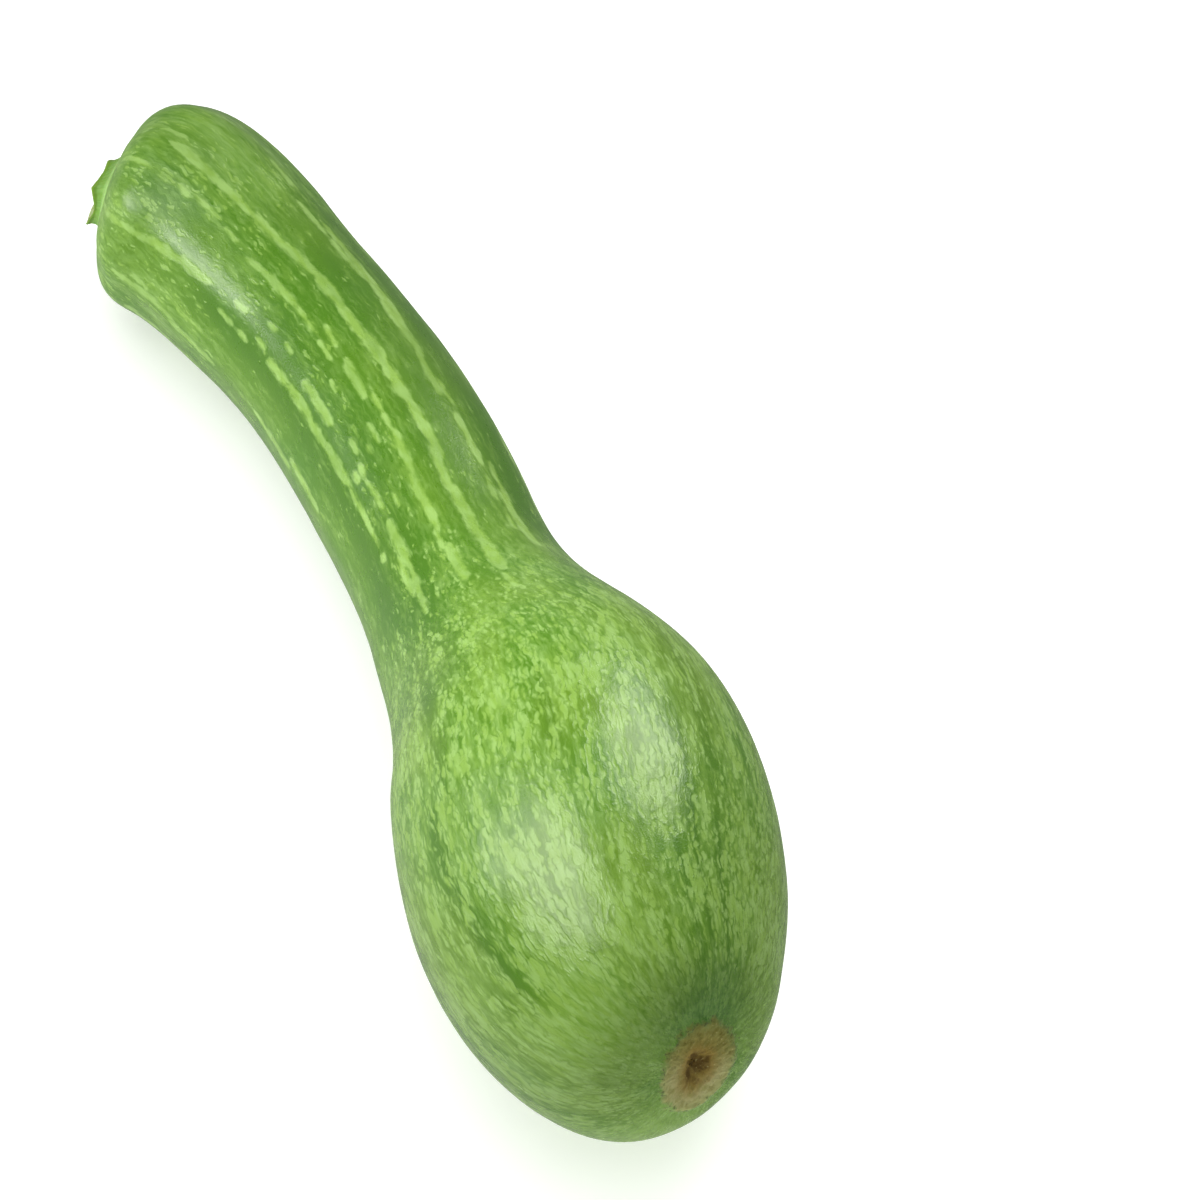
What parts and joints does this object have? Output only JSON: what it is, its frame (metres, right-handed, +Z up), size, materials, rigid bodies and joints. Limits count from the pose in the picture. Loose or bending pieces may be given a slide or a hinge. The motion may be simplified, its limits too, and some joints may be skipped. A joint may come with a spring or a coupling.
{
  "type": "summer squash",
  "caption": "Young long-necked summer squash lying on its side: bent ribbed neck with a trimmed stem stub, rounded bulb and corky blossom scar.",
  "frame": {"origin": "on the surface the squash lies on, below the middle of its bounding box", "axes": "+X from the stem end towards the blossom end, +Z up, +Y to the side that the neck bows towards"},
  "size_m": [0.2888, 0.0812, 0.0751],
  "materials": {
    "rind": "satin waxy rind, mid green with light yellow-green flecks and broken stripes, and a tan corky scar",
    "stem": "matt green stem skin with a paler dry cut end"
  },
  "bodies": {
    "root": {"fruit": "rind", "stem": "stem"}
  },
  "joints": []
}
